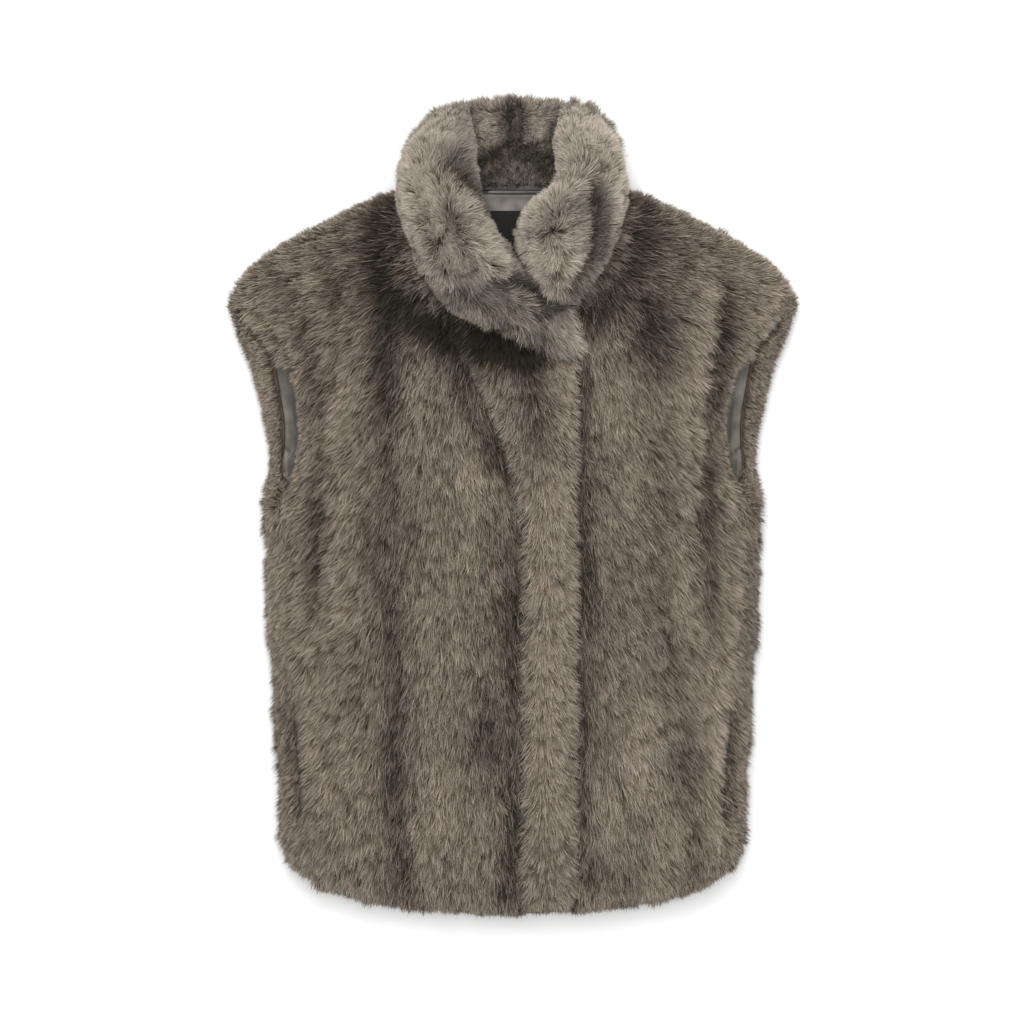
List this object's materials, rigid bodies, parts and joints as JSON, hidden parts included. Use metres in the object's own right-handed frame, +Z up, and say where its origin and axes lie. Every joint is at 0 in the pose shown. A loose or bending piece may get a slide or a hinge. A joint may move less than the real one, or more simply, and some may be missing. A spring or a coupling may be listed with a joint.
{
  "type": "faux fur vest",
  "caption": "Sleeveless faux fur vest laid flat, with a rolled crossover collar, a lapped front band, armholes showing satin lining and slit pockets in the side seams.",
  "frame": {"origin": "on the surface the vest lies on, under the middle of its back", "axes": "+X to the viewer's right across the fronts, +Y from hem to collar, +Z up out of the surface"},
  "size_m": [0.546, 0.787, 0.0681],
  "materials": {
    "body_fur": "long-pile faux fur, taupe grey with dark roots",
    "collar_fur": "long-pile faux fur, lighter taupe grey",
    "satin_lining": "satin",
    "label_cloth": "woven, matt black"
  },
  "bodies": {
    "root": {"back": "body_fur", "back_lining": "satin_lining", "front_right": "body_fur", "front_left": "body_fur", "front_band": "body_fur", "collar_back": "collar_fur", "collar_right": "collar_fur", "collar_left": "collar_fur", "label": "label_cloth", "hanging_loop": "satin_lining"}
  },
  "joints": []
}
